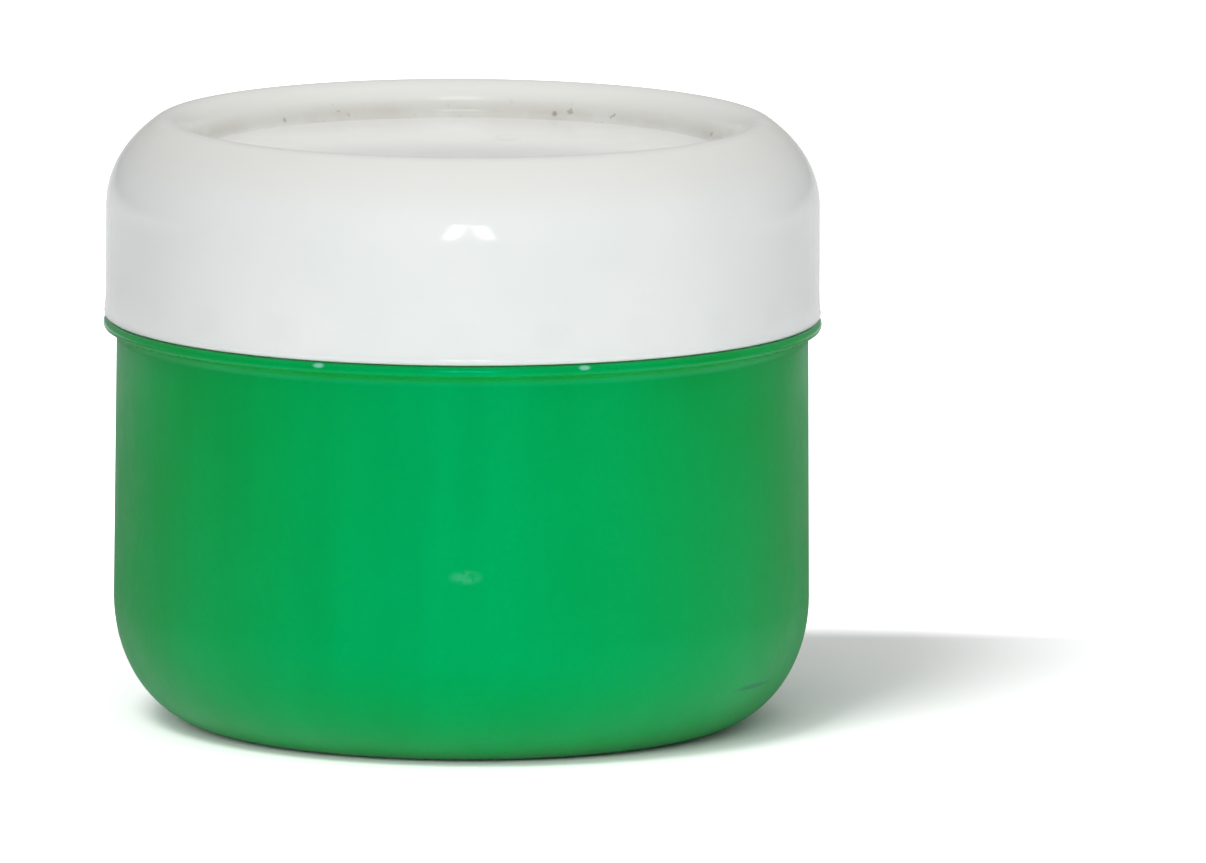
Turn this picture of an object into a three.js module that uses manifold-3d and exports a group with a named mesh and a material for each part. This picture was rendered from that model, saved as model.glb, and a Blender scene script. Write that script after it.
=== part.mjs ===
// A small screw-top jar of paint, as an assembly of its separate pieces:
//   jar_body    jar with a rounded bottom, a bead just below the lid and a threaded neck
//   paint_fill  the paint inside the jar
//   liner_disc  foam disc that the lid presses on the rim of the neck
//   inner_cap   threaded cap hidden inside the lid
//   lid_shell   smooth dished shell of the lid, with lugs that grip the inner cap
// Units are millimetres, +Z is up, and the origin is the centre of the jar's foot.
// Every piece is a solid of revolution about the Z axis, apart from the threads and the lugs.

import * as THREE from "three";
import { mergeVertices } from "three/addons/utils/BufferGeometryUtils.js";
import Module from "manifold-3d";

const wasm = await Module();
wasm.setup();

// ---- Driving dimensions ----

// Jar body: a near-cylindrical wall on a rounded bottom.
const JAR_RADIUS = 22.44; // at the top of the rounded bottom, where the jar is widest
const JAR_TOP_RADIUS = 22.29; // where the wall meets the bead
const JAR_WALL = 1.2;
const FOOT_RADIUS = 16.05; // outer edge of the flat ring that the jar stands on
const FOOT_RING_WIDTH = 1.9;
const BASE_RECESS = 0.5; // the underside is hollowed by this much inside the foot ring
const BASE_THICKNESS = 1.2;
const BOTTOM_ROUND_HEIGHT = 8.18;

// Bead around the top of the jar, just proud of the lid.
const BEAD_RADIUS = 23.15;
const BEAD_TOP = 26.1;
const BEAD_ROUNDING = 0.4;
const BEAD_FOOT_HEIGHT = 24.4; // where its sloping underside leaves the wall
const BEAD_SLOPE_END_DEG = -35; // where on the rounding that slope ends

// Neck and shoulder.
const SHOULDER_THICKNESS = 1.35;
const SHOULDER_FILLET = 1.0;
const NECK_RADIUS = 17.4; // outside, at the root of the thread
const MOUTH_RADIUS = 16.0;
const RIM_HEIGHT = 33.4;
const RIM_ROUNDING = 0.4;

// Thread, the same on the neck and in the cap: one right-hand start.
const THREAD_LEAD = 4.233; // rise in one turn, 6 turns to the inch
const THREAD_TURNS = 1.1;
const THREAD_BASE_HEIGHT = 1.8;
const THREAD_CREST_HEIGHT = 0.8;
const THREAD_ROOT_INSET = 0.3; // how far each thread is sunk into the wall that carries it
const THREAD_FADE_DEG = 24; // length of the run-out at each end
const THREAD_END_SHARE = 0.1; // share of the full depth left at the tip of a run-out
const NECK_THREAD_DEPTH = 1.2;
const NECK_THREAD_START = 27.1; // height of the thread's middle at its lower end
const CAP_THREAD_DEPTH = 1.15;
const CAP_THREAD_DROP = 1.28; // how far the cap's thread runs below the neck's
const CAP_THREAD_START_DEG = 147; // angle of its lower end

// Paint.
const FILL_HEIGHT = 23.4;
const FILL_CLEARANCE = 0.15; // between the paint and the jar's inside
const MENISCUS_WIDTH = 0.8;
const MENISCUS_RISE = 0.35;

// Liner disc.
const LINER_RADIUS = 18.5;
const LINER_THICKNESS = 0.8;
const LINER_EDGE = 0.15;
const STACK_CLEARANCE = 0.1; // between the rim, the liner, the inner cap and the shell

// Inner cap.
const CAP_BOTTOM = 26.55;
const CAP_INNER_RADIUS = 19.0;
const CAP_OUTER_RADIUS = 20.2;
const CAP_TOP_THICKNESS = 1.2;
const CAP_CORNER = 0.8;
const CAP_EDGE = 0.3;

// Lid shell.
const LID_BOTTOM = 26.35; // leaves a fine gap above the bead
const LID_TOP = 39.2; // the crest that runs around the dish
const LID_RADIUS = 23.0;
const LID_WALL = 1.2;
const LID_EDGE = 0.3; // rounding of the skirt's lower edge
const SKIRT_HEIGHT = 33.4; // where the straight skirt starts to curve in
const CREST_RADIUS = 19.1;
const CREST_ROUNDING = 1.4; // its inner side is the wall of the dish
const CORNER_SLOPE_DEG = 36; // slope of the lid's corner where it meets the crest
const DISH_FLOOR_HEIGHT = 36.9;
const DISH_FILLET = 0.5;
const UNDERSIDE_EDGE = 0.6;

// Lugs inside the skirt, which centre the inner cap and turn it.
const LUG_COUNT = 24;
const LUG_WIDTH = 0.9;
const LUG_HEIGHT = 2.0;
const LUG_BOTTOM = 27.2;
const LUG_CLEARANCE = 0.15; // between a lug and the inner cap
const LUG_ROOT_INSET = 0.4;

// How finely round shapes are cut into flat faces.
const FACES_AROUND = 60;
const FACES_PER_FILLET = 2;
const FACES_PER_BEAD = 3;
const FACES_PER_CREST = 5;
const FACES_PER_LARGE_ROUND = 6;
const MERGE_DISTANCE = 1e-4; // corners of faces closer than this are one corner

// ---- Materials ----

const GREEN_PLASTIC = { color: 0x00a653, roughness: 0.3, metalness: 0 };
const WHITE_PLASTIC = { color: 0xeef1ef, roughness: 0.25, metalness: 0 };
const WHITE_CAP_PLASTIC = { color: 0xe6e8e6, roughness: 0.4, metalness: 0 };
const GREEN_PAINT = { color: 0x009a4c, roughness: 0.15, metalness: 0 };
const WHITE_FOAM = { color: 0xf4f3ee, roughness: 0.9, metalness: 0 };

// ---- Helpers ----

function point(radius, height) {
  return new THREE.Vector2(radius, height);
}

// Points on an ellipse about a centre: 0 degrees points away from the axis and 90 degrees up.
function arc(centre, width, height, fromDeg, toDeg, faces = FACES_PER_FILLET) {
  return Array.from({ length: faces + 1 }, (_, i) => {
    const angle = THREE.MathUtils.degToRad(fromDeg + ((toDeg - fromDeg) * i) / faces);
    return point(centre.x + width * Math.cos(angle), centre.y + height * Math.sin(angle));
  });
}

// The solid of revolution about Z of an outline that starts and ends on the axis.
function revolve(outline) {
  return new THREE.LatheGeometry(outline, FACES_AROUND).rotateX(Math.PI / 2);
}

function toSolid(geometry) {
  const bare = geometry.clone();
  bare.deleteAttribute("normal");
  bare.deleteAttribute("uv");
  const merged = mergeVertices(bare, MERGE_DISTANCE);
  return new wasm.Manifold(
    new wasm.Mesh({
      numProp: 3,
      vertProperties: merged.attributes.position.array,
      triVerts: new Uint32Array(merged.index.array),
    }),
  );
}

function fromSolid(solid) {
  const mesh = solid.getMesh();
  const geometry = new THREE.BufferGeometry();
  geometry.setAttribute("position", new THREE.BufferAttribute(mesh.vertProperties, 3));
  geometry.setIndex(new THREE.BufferAttribute(mesh.triVerts, 1));
  geometry.computeVertexNormals();
  return geometry;
}

function join(first, ...others) {
  const solids = others.map(toSolid);
  return fromSolid(solids.reduce((sum, solid) => sum.add(solid), toSolid(first)));
}

// A helical thread: its section is extruded straight, one unit of depth to one radian, and then
// wound around the axis. rootRadius is the wall that carries it, and outward is 1 for a thread on
// the outside of a neck and -1 for one inside a cap.
function thread(rootRadius, depth, outward, startHeight, startDeg) {
  const fullDepth = depth + THREAD_ROOT_INSET;
  const totalAngle = THREAD_TURNS * 2 * Math.PI;
  const fadeAngle = THREE.MathUtils.degToRad(THREAD_FADE_DEG);
  const section = new THREE.Shape([
    point(0, -THREAD_BASE_HEIGHT / 2),
    point(fullDepth, -THREAD_CREST_HEIGHT / 2),
    point(fullDepth, THREAD_CREST_HEIGHT / 2),
    point(0, THREAD_BASE_HEIGHT / 2),
  ]);
  const geometry = new THREE.ExtrudeGeometry(section, {
    depth: totalAngle,
    steps: Math.round(THREAD_TURNS * FACES_AROUND),
    bevelEnabled: false,
  });
  const position = geometry.attributes.position;
  for (let i = 0; i < position.count; i += 1) {
    // An inside thread is wound from its other end, which keeps its faces pointing out.
    const along = outward > 0 ? totalAngle - position.getZ(i) : position.getZ(i);
    const toEnd = Math.min(along, totalAngle - along);
    const full = THREE.MathUtils.smoothstep(toEnd, 0, fadeAngle);
    const share = THREE.MathUtils.lerp(THREAD_END_SHARE, 1, full);
    const radius = rootRadius + outward * (position.getX(i) * share - THREAD_ROOT_INSET);
    const angle = along + THREE.MathUtils.degToRad(startDeg);
    position.setXYZ(
      i,
      radius * Math.cos(angle),
      radius * Math.sin(angle),
      position.getY(i) + startHeight + (THREAD_LEAD * along) / (2 * Math.PI),
    );
  }
  return geometry;
}

function piece(name, geometry, finish) {
  const mesh = new THREE.Mesh(geometry, new THREE.MeshStandardMaterial(finish));
  mesh.name = name;
  return mesh;
}

// ---- Jar body ----

function jarOutside() {
  const beadCentre = point(BEAD_RADIUS - BEAD_ROUNDING, BEAD_TOP - BEAD_ROUNDING);
  return [
    point(0, BASE_RECESS),
    point(FOOT_RADIUS - FOOT_RING_WIDTH - BASE_RECESS, BASE_RECESS),
    point(FOOT_RADIUS - FOOT_RING_WIDTH, 0),
    ...arc(
      point(FOOT_RADIUS, BOTTOM_ROUND_HEIGHT),
      JAR_RADIUS - FOOT_RADIUS,
      BOTTOM_ROUND_HEIGHT,
      -90,
      0,
      FACES_PER_LARGE_ROUND,
    ),
    point(JAR_TOP_RADIUS, BEAD_FOOT_HEIGHT),
    ...arc(beadCentre, BEAD_ROUNDING, BEAD_ROUNDING, BEAD_SLOPE_END_DEG, 90, FACES_PER_BEAD),
  ];
}

function neckOutline() {
  const rootFillet = point(NECK_RADIUS + RIM_ROUNDING, BEAD_TOP + RIM_ROUNDING);
  const outerRim = point(NECK_RADIUS - RIM_ROUNDING, RIM_HEIGHT - RIM_ROUNDING);
  const innerRim = point(MOUTH_RADIUS + RIM_ROUNDING, RIM_HEIGHT - RIM_ROUNDING);
  return [
    ...arc(rootFillet, RIM_ROUNDING, RIM_ROUNDING, -90, -180),
    ...arc(outerRim, RIM_ROUNDING, RIM_ROUNDING, 0, 90),
    ...arc(innerRim, RIM_ROUNDING, RIM_ROUNDING, 90, 180),
  ];
}

function jarInside() {
  const innerRadius = JAR_RADIUS - JAR_WALL;
  const ceiling = BEAD_TOP - SHOULDER_THICKNESS;
  const floor = BASE_RECESS + BASE_THICKNESS;
  const mouthEdge = point(MOUTH_RADIUS + RIM_ROUNDING, ceiling + RIM_ROUNDING);
  const shoulder = point(innerRadius - SHOULDER_FILLET, ceiling - SHOULDER_FILLET);
  return [
    ...arc(mouthEdge, RIM_ROUNDING, RIM_ROUNDING, 180, 270),
    ...arc(shoulder, SHOULDER_FILLET, SHOULDER_FILLET, 90, 0),
    ...arc(
      point(FOOT_RADIUS, BOTTOM_ROUND_HEIGHT),
      innerRadius - FOOT_RADIUS,
      BOTTOM_ROUND_HEIGHT - floor,
      0,
      -90,
      FACES_PER_LARGE_ROUND,
    ),
    point(0, floor),
  ];
}

function makeJarBody() {
  const walls = revolve([...jarOutside(), ...neckOutline(), ...jarInside()]);
  const neckThread = thread(NECK_RADIUS, NECK_THREAD_DEPTH, 1, NECK_THREAD_START, 0);
  return piece("jar_body", join(walls, neckThread), GREEN_PLASTIC);
}

// ---- Paint ----

function makePaintFill() {
  const bottom = BASE_RECESS + BASE_THICKNESS + FILL_CLEARANCE;
  const radius = JAR_RADIUS - JAR_WALL - FILL_CLEARANCE;
  const outline = [
    point(0, bottom),
    ...arc(
      point(FOOT_RADIUS, BOTTOM_ROUND_HEIGHT),
      radius - FOOT_RADIUS,
      BOTTOM_ROUND_HEIGHT - bottom,
      -90,
      0,
      FACES_PER_LARGE_ROUND,
    ),
    ...arc(
      point(radius - MENISCUS_WIDTH, FILL_HEIGHT + MENISCUS_RISE),
      MENISCUS_WIDTH,
      MENISCUS_RISE,
      0,
      -90,
    ),
    point(0, FILL_HEIGHT),
  ];
  return piece("paint_fill", revolve(outline), GREEN_PAINT);
}

// ---- Liner disc, in a frame with its underside at zero height ----

function makeLinerDisc() {
  const outline = [
    point(0, 0),
    point(LINER_RADIUS - LINER_EDGE, 0),
    point(LINER_RADIUS, LINER_EDGE),
    point(LINER_RADIUS, LINER_THICKNESS - LINER_EDGE),
    point(LINER_RADIUS - LINER_EDGE, LINER_THICKNESS),
    point(0, LINER_THICKNESS),
  ];
  return piece("liner_disc", revolve(outline), WHITE_FOAM);
}

// ---- Lid, in a frame with the lower edge of its skirt at zero height ----

function makeInnerCap() {
  const bottom = CAP_BOTTOM - LID_BOTTOM;
  const underside = RIM_HEIGHT + LINER_THICKNESS + 2 * STACK_CLEARANCE - LID_BOTTOM;
  const top = underside + CAP_TOP_THICKNESS;
  const innerCorner = point(CAP_INNER_RADIUS - CAP_EDGE, underside - CAP_EDGE);
  const outerCorner = point(CAP_OUTER_RADIUS - CAP_CORNER, top - CAP_CORNER);
  const walls = revolve([
    point(0, underside),
    ...arc(innerCorner, CAP_EDGE, CAP_EDGE, 90, 0),
    point(CAP_INNER_RADIUS, bottom + CAP_EDGE),
    point(CAP_INNER_RADIUS + CAP_EDGE, bottom),
    point(CAP_OUTER_RADIUS - CAP_EDGE, bottom),
    point(CAP_OUTER_RADIUS, bottom + CAP_EDGE),
    ...arc(outerCorner, CAP_CORNER, CAP_CORNER, 0, 90),
    point(0, top),
  ]);
  const riseToStart = (THREAD_LEAD * CAP_THREAD_START_DEG) / 360;
  const threadStart = NECK_THREAD_START - CAP_THREAD_DROP + riseToStart - LID_BOTTOM;
  const capThread = thread(
    CAP_INNER_RADIUS,
    CAP_THREAD_DEPTH,
    -1,
    threadStart,
    CAP_THREAD_START_DEG,
  );
  return piece("inner_cap", join(walls, capThread), WHITE_CAP_PLASTIC);
}

// From the wall of the dish over the crest and down the corner to the skirt. inset moves the
// curve inwards by a wall's thickness, for the hollow underside.
function crestAndCorner(inset) {
  const slope = THREE.MathUtils.degToRad(CORNER_SLOPE_DEG);
  const centre = point(CREST_RADIUS, LID_TOP - LID_BOTTOM - CREST_ROUNDING);
  const rounding = CREST_ROUNDING - inset;
  const faces = inset > 0 ? FACES_PER_FILLET : FACES_PER_CREST;
  const crest = arc(centre, rounding, rounding, 180, 90 - CORNER_SLOPE_DEG, faces);
  const cornerTop = crest.at(-1);
  const skirtTop = point(LID_RADIUS - inset, SKIRT_HEIGHT - LID_BOTTOM);
  // Where the two straight directions meet, which makes the corner leave both smoothly.
  const meeting = point(
    skirtTop.x,
    cornerTop.y - (skirtTop.x - cornerTop.x) * Math.tan(slope),
  );
  const corner = new THREE.QuadraticBezierCurve(cornerTop, meeting, skirtTop);
  return [...crest, ...corner.getPoints(FACES_PER_LARGE_ROUND).slice(1)];
}

function lidUnderside() {
  const ceiling = DISH_FLOOR_HEIGHT - LID_WALL - LID_BOTTOM;
  const wallRadius = CREST_RADIUS - CREST_ROUNDING + LID_WALL; // far side of the dish's wall
  const edge = point(wallRadius - UNDERSIDE_EDGE, ceiling + UNDERSIDE_EDGE);
  const skirtRadius = LID_RADIUS - LID_WALL;
  return [
    point(0, ceiling),
    ...arc(edge, UNDERSIDE_EDGE, UNDERSIDE_EDGE, -90, 0),
    ...crestAndCorner(LID_WALL),
    point(skirtRadius, LID_EDGE),
    point(skirtRadius + LID_EDGE, 0),
  ];
}

function lidOutside() {
  const floor = DISH_FLOOR_HEIGHT - LID_BOTTOM;
  const lowerEdge = point(LID_RADIUS - LID_EDGE, LID_EDGE);
  const dishFoot = point(CREST_RADIUS - CREST_ROUNDING - DISH_FILLET, floor + DISH_FILLET);
  return [
    ...arc(lowerEdge, LID_EDGE, LID_EDGE, -90, 0),
    ...crestAndCorner(0).reverse(),
    ...arc(dishFoot, DISH_FILLET, DISH_FILLET, 0, -90),
    point(0, floor),
  ];
}

function lug(index) {
  const innerRadius = CAP_OUTER_RADIUS + LUG_CLEARANCE;
  const outerRadius = LID_RADIUS - LID_WALL + LUG_ROOT_INSET;
  const geometry = new THREE.BoxGeometry(outerRadius - innerRadius, LUG_WIDTH, LUG_HEIGHT);
  geometry.translate(
    (innerRadius + outerRadius) / 2,
    0,
    LUG_BOTTOM - LID_BOTTOM + LUG_HEIGHT / 2,
  );
  return geometry.rotateZ((index * 2 * Math.PI) / LUG_COUNT);
}

function makeLidShell() {
  const walls = revolve([...lidUnderside(), ...lidOutside()]);
  const lugs = Array.from({ length: LUG_COUNT }, (_, index) => lug(index));
  return piece("lid_shell", join(walls, ...lugs), WHITE_PLASTIC);
}

// ---- Assembly ----

const liner = makeLinerDisc();
liner.position.z = RIM_HEIGHT + STACK_CLEARANCE;

const lid = new THREE.Group();
lid.add(makeInnerCap(), makeLidShell());
lid.position.z = LID_BOTTOM;

const paintJar = new THREE.Group();
paintJar.add(makeJarBody(), makePaintFill(), liner, lid);

export default paintJar;
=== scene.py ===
import math

import bpy
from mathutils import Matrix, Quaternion, Vector


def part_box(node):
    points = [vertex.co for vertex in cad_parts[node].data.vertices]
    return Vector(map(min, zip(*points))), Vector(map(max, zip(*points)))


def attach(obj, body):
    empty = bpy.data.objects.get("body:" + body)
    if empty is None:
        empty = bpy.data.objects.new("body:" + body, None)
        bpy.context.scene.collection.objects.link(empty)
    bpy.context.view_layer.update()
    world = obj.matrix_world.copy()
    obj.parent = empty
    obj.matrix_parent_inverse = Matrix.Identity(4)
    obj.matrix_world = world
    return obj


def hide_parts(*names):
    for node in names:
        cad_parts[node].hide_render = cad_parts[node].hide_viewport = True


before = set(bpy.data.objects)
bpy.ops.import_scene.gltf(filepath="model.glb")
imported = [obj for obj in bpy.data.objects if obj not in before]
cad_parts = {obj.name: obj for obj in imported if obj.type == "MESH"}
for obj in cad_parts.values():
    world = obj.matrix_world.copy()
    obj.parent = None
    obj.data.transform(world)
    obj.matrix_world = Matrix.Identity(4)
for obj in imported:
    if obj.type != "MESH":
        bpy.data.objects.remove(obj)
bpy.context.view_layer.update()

# The looks of a small screw-top paint jar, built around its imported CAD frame.
# Every length is in metres. Each piece is one closed surface of revolution about Z in the row
# frame, reshaped point by point where it carries a thread, lugs, brush swirls or a groove.

MM = 0.001
TINY = 1e-6  # points closer than this are level, or in line


# ---- Sizes read from the frame ----


def radius_of(node):
    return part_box(node)[1].x


def bottom_of(node):
    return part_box(node)[0].z


def top_of(node):
    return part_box(node)[1].z


BEAD_RADIUS = radius_of("jar_body")
RIM_HEIGHT = top_of("jar_body")
LID_RADIUS = radius_of("lid_shell")
LID_BOTTOM = bottom_of("lid_shell")
LID_TOP = top_of("lid_shell")
CAP_RADIUS = radius_of("inner_cap")
CAP_BOTTOM = bottom_of("inner_cap")
CAP_TOP = top_of("inner_cap")
LINER_RADIUS = radius_of("liner_disc")
LINER_BOTTOM = bottom_of("liner_disc")
LINER_TOP = top_of("liner_disc")
PAINT_RADIUS = radius_of("paint_fill")
PAINT_BOTTOM = bottom_of("paint_fill")
PAINT_EDGE_HEIGHT = top_of("paint_fill")

# ---- Shape of the jar ----

JAR_RADIUS = BEAD_RADIUS - 0.71 * MM  # where the wall is widest, above the rounded bottom
JAR_TOP_RADIUS = JAR_RADIUS - 0.15 * MM
PAINT_GAP = 0.15 * MM  # between the jar and the paint in it
JAR_INSIDE_RADIUS = PAINT_RADIUS + PAINT_GAP
FOOT_RADIUS = 16.05 * MM
FOOT_RING_WIDTH = 1.9 * MM
BASE_RECESS = 0.5 * MM
RECESS_ROUNDING_END = 20  # degrees, where the recess's rounding meets the foot ring
BASE_INSIDE_HEIGHT = PAINT_BOTTOM - PAINT_GAP
BOTTOM_ROUND_HEIGHT = 8.18 * MM
GATE_RADIUS = 1.6 * MM  # small dimple where the plastic entered the mould
GATE_FLOOR_RADIUS = 0.8 * GATE_RADIUS
GATE_DEPTH = 0.25 * MM
BEAD_TOP = LID_BOTTOM - 0.03 * MM
BEAD_ROUNDING = 0.4 * MM
BEAD_FOOT_HEIGHT = BEAD_TOP - 1.45 * MM
BEAD_HOLLOW = 0.45 * MM
BEAD_SLOPE_END = -35  # degrees, where on the bead's rounding its underside ends
SHOULDER_UNDERSIDE = BEAD_TOP - 1.35 * MM
SHOULDER_FILLET = 1.0 * MM
NECK_RADIUS = 17.4 * MM
MOUTH_RADIUS = 16.0 * MM
RIM_ROUNDING = 0.4 * MM

# ---- Threads ----

THREAD_LEAD = 4.233 * MM
THREAD_TURNS = 1.1
THREAD_BASE_HEIGHT = 1.8 * MM
THREAD_CREST_HEIGHT = 0.8 * MM
THREAD_FADE = math.radians(24)
NECK_THREAD_DEPTH = 1.15 * MM
NECK_THREAD_START = 27.1 * MM
CAP_THREAD_DEPTH = 1.1 * MM
CAP_THREAD_DROP = 1.28 * MM
CAP_THREAD_START_ANGLE = math.radians(147)

# ---- Shape of the paint and the liner ----

MENISCUS_WIDTH = 0.8 * MM
MENISCUS_RISE = 0.35 * MM
SWIRL_HEIGHT = 0.12 * MM
SWIRL_EDGE_FADE = 3 * MM
SWIRL_MIDDLE_FADE = 2 * MM
BROAD_SWIRL = 1.9 * MM  # how much further out a swirl is after turning through a radian
FINE_SWIRL = 1.1 * MM
LINER_EDGE = 0.2 * MM
GROOVE_DEPTH = 0.12 * MM
GROOVE_FLOOR = 0.3 * MM  # half widths of the groove that the rim has pressed
GROOVE_MOUTH = 0.9 * MM

# ---- Shape of the lid ----

CAP_INSIDE_RADIUS = CAP_RADIUS - 1.2 * MM
CAP_CEILING = CAP_TOP - 1.2 * MM
CAP_CORNER = 0.8 * MM
CAP_EDGE = 0.3 * MM
LID_WALL = 1.2 * MM
LID_LIP_ROUNDING = 0.3 * MM
LID_LIP_PROUD = 0.1 * MM  # the skirt's lower edge stands out a little
LIP_ROUNDING_END = 30  # degrees, where on the lip's rounding the skirt begins
SKIRT_INSIDE_RADIUS = LID_RADIUS - LID_WALL
SKIRT_HEIGHT = 33.4 * MM  # where the straight skirt starts to curve in
CREST_RADIUS = 19.1 * MM
CREST_ROUNDING = 1.4 * MM
CORNER_SLOPE = math.radians(36)  # of the lid's corner where it meets the crest
DISH_WALL_RADIUS = CREST_RADIUS - CREST_ROUNDING
DISH_FLOOR_HEIGHT = CAP_TOP + 1.3 * MM
DISH_FILLET = 0.5 * MM
UNDERSIDE_EDGE = 0.6 * MM
LUG_COUNT = 24
LUG_HALF_WIDTH = 1.5  # columns of points
LUG_GAP = 0.15 * MM  # between a lug and the inner cap
LUG_REACH = SKIRT_INSIDE_RADIUS - (CAP_RADIUS + LUG_GAP)
LUG_BOTTOM = LID_BOTTOM + 0.85 * MM
LUG_TOP = LUG_BOTTOM + 2.0 * MM
LUG_DRAFT = 0.12 * MM

# ---- Fineness ----

COLUMNS = 240  # points around, a multiple of LUG_COUNT so that each lug meets the same ones
FILLET_STEPS = 6
ROUND_STEPS = 24
LIP_STEPS = 10  # round the tip of the bead and the lid's lower edge
LINER_EDGE_STEPS = 4

# Spacing of the rings of points, by what carries them.
THREAD_ROW = 0.075 * MM
GROOVE_ROW = 0.2 * MM
SWIRL_ROW = 0.5 * MM
PLAIN_ROW = 1.0 * MM
WALL_ROW = 1.5 * MM
DISH_ROW = 2.0 * MM


# ---- Mesh helpers ----


def arc(centre, width, height, start, end, steps=FILLET_STEPS):
    """Points on an ellipse: 0 degrees points away from the axis and 90 degrees up."""
    angles = [math.radians(start + (end - start) * i / steps) for i in range(steps + 1)]
    return [(centre[0] + width * math.cos(a), centre[1] + height * math.sin(a)) for a in angles]


def bend(start, middle, end, steps):
    """Points on a parabola from start, left out, to end, heading for middle as it sets off."""
    start, middle, end = Vector(start), Vector(middle), Vector(end)
    shares = [(i + 1) / steps for i in range(steps)]
    return [tuple(start.lerp(middle, s).lerp(middle.lerp(end, s), s)) for s in shares]


def line(start, end, step):
    """Points between start and end, both left out, at about the given spacing."""
    count = max(1, round(math.dist(start, end) / step))
    shares = [i / count for i in range(1, count)]
    return [tuple(a + (b - a) * s for a, b in zip(start, end)) for s in shares]


def revolve(name, outline, reshape=None):
    """A closed mesh: outline turned about Z, from the axis back to the axis.

    reshape(radius, height, angle) may move each point in or out, and up or down.
    """
    vertices, rings = [], []
    for radius, height in outline:
        if radius < TINY:
            rings.append([len(vertices)] * COLUMNS)
            vertices.append((0.0, 0.0, height))
            continue
        rings.append(list(range(len(vertices), len(vertices) + COLUMNS)))
        for column in range(COLUMNS):
            angle = 2 * math.pi * column / COLUMNS
            r, z = reshape(radius, height, angle) if reshape else (radius, height)
            vertices.append((r * math.cos(angle), r * math.sin(angle), z))
    faces = []
    for lower, upper in zip(rings, rings[1:]):
        for column in range(COLUMNS):
            after = (column + 1) % COLUMNS
            corners = (lower[column], lower[after], upper[after], upper[column])
            faces.append(tuple(dict.fromkeys(corners)))
    mesh = bpy.data.meshes.new(name)
    mesh.from_pydata(vertices, [], faces)
    mesh.validate()
    mesh.shade_smooth()
    piece = bpy.data.objects.new(name, mesh)
    bpy.context.scene.collection.objects.link(piece)
    normals = piece.modifiers.new("even_normals", "WEIGHTED_NORMAL")
    normals.mode = "FACE_AREA"
    return piece


def smooth_step(value, low, high):
    share = min(1.0, max(0.0, (value - low) / (high - low)))
    return share * share * (3 - 2 * share)


def thread_share(angle, height, start_height, start_angle):
    """How far the thread stands out here, from 0 on bare wall to 1 on its crest."""
    total = THREAD_TURNS * 2 * math.pi
    along = (angle - start_angle) % (2 * math.pi)
    share = 0.0
    while along <= total:
        off_centre = abs(height - start_height - THREAD_LEAD * along / (2 * math.pi))
        section = 1 - smooth_step(off_centre, THREAD_CREST_HEIGHT / 2, THREAD_BASE_HEIGHT / 2)
        end_fade = smooth_step(min(along, total - along), 0.0, THREAD_FADE)
        share = max(share, section * end_fade)
        along += 2 * math.pi
    return share


def finish_piece(piece, body, node, material):
    """Puts a visual piece in the place of its CAD node."""
    piece.data.materials.append(material)
    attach(piece, body)
    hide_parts(node)
    return piece


# ---- Jar ----


def jar_outline():
    bead = (BEAD_RADIUS - BEAD_ROUNDING, BEAD_TOP - BEAD_ROUNDING)
    foot_inner = FOOT_RADIUS - FOOT_RING_WIDTH
    neck_foot = (NECK_RADIUS + RIM_ROUNDING, BEAD_TOP + RIM_ROUNDING)
    rim_low = RIM_HEIGHT - RIM_ROUNDING
    ceiling = SHOULDER_UNDERSIDE
    mouth_foot = (MOUTH_RADIUS + RIM_ROUNDING, ceiling + RIM_ROUNDING)
    return [
        (0.0, BASE_RECESS + GATE_DEPTH),
        (GATE_FLOOR_RADIUS, BASE_RECESS + GATE_DEPTH),
        (GATE_RADIUS, BASE_RECESS),
        *arc(
            (foot_inner - BASE_RECESS, 0.0),
            BASE_RECESS,
            BASE_RECESS,
            90,
            RECESS_ROUNDING_END,
        ),
        (foot_inner, 0.0),
        *arc(
            (FOOT_RADIUS, BOTTOM_ROUND_HEIGHT),
            JAR_RADIUS - FOOT_RADIUS,
            BOTTOM_ROUND_HEIGHT,
            -90,
            0,
            ROUND_STEPS,
        ),
        *line((JAR_RADIUS, BOTTOM_ROUND_HEIGHT), (JAR_TOP_RADIUS, BEAD_FOOT_HEIGHT), WALL_ROW),
        *bead_underside(bead),
        *arc(bead, BEAD_ROUNDING, BEAD_ROUNDING, BEAD_SLOPE_END, 90, LIP_STEPS),
        *line((bead[0], BEAD_TOP), (neck_foot[0], BEAD_TOP), PLAIN_ROW),
        *arc(neck_foot, RIM_ROUNDING, RIM_ROUNDING, -90, -180),
        *line((NECK_RADIUS, neck_foot[1]), (NECK_RADIUS, rim_low), THREAD_ROW),
        *arc((NECK_RADIUS - RIM_ROUNDING, rim_low), RIM_ROUNDING, RIM_ROUNDING, 0, 90),
        *arc((MOUTH_RADIUS + RIM_ROUNDING, rim_low), RIM_ROUNDING, RIM_ROUNDING, 90, 180),
        *line((MOUTH_RADIUS, rim_low), (MOUTH_RADIUS, mouth_foot[1]), PLAIN_ROW),
        *arc(mouth_foot, RIM_ROUNDING, RIM_ROUNDING, 180, 270),
        *arc(
            (JAR_INSIDE_RADIUS - SHOULDER_FILLET, ceiling - SHOULDER_FILLET),
            SHOULDER_FILLET,
            SHOULDER_FILLET,
            90,
            0,
        ),
        *arc(
            (FOOT_RADIUS, BOTTOM_ROUND_HEIGHT),
            JAR_INSIDE_RADIUS - FOOT_RADIUS,
            BOTTOM_ROUND_HEIGHT - BASE_INSIDE_HEIGHT,
            0,
            -90,
            ROUND_STEPS,
        ),
        (0.0, BASE_INSIDE_HEIGHT),
    ]


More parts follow.
